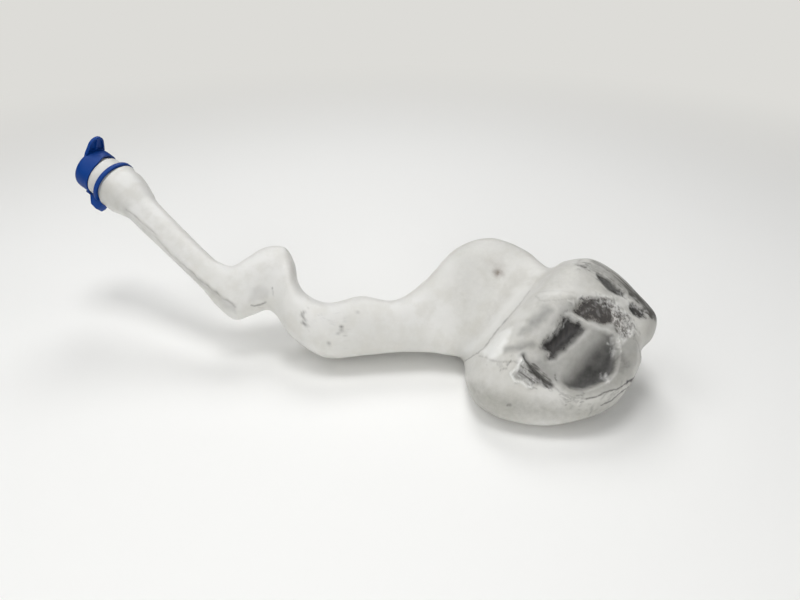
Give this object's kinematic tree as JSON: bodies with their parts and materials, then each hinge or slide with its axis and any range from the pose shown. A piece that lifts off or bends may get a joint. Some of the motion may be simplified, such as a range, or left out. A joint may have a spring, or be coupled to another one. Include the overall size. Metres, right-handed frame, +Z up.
{
  "type": "washer fluid reservoir",
  "caption": "Blow-moulded washer fluid tank with a long kinked filler neck and a tethered snap cap.",
  "frame": {"origin": "centre of the tank's flat foot, on the surface that it stands on", "axes": "+X along the tank's length, from the filler mouth towards the far end; +Y towards the tank's back; +Z up"},
  "size_m": [0.5826, 0.258, 0.1944],
  "materials": {
    "natural_polyethylene": "translucent natural, grimy",
    "blue_polypropylene": "satin"
  },
  "bodies": {
    "tank": {"tank": "natural_polyethylene"},
    "cap_ring": {"cap_ring": "blue_polypropylene"},
    "filler_cap": {"filler_cap": "blue_polypropylene"}
  },
  "joints": [
    {"name": "ring_swivel", "type": "hinge", "parent": "tank", "child": "cap_ring", "pos_m": [-0.452, 0.14708, 0.14708], "axis": [-0.8144, 0.406, 0.4147], "continuous": true},
    {"name": "cap_hinge", "type": "hinge", "parent": "cap_ring", "child": "filler_cap", "pos_m": [-0.47674, 0.14125, 0.13748], "axis": [-0.0632, -0.7723, 0.6321], "range_deg": [0, 108]}
  ]
}
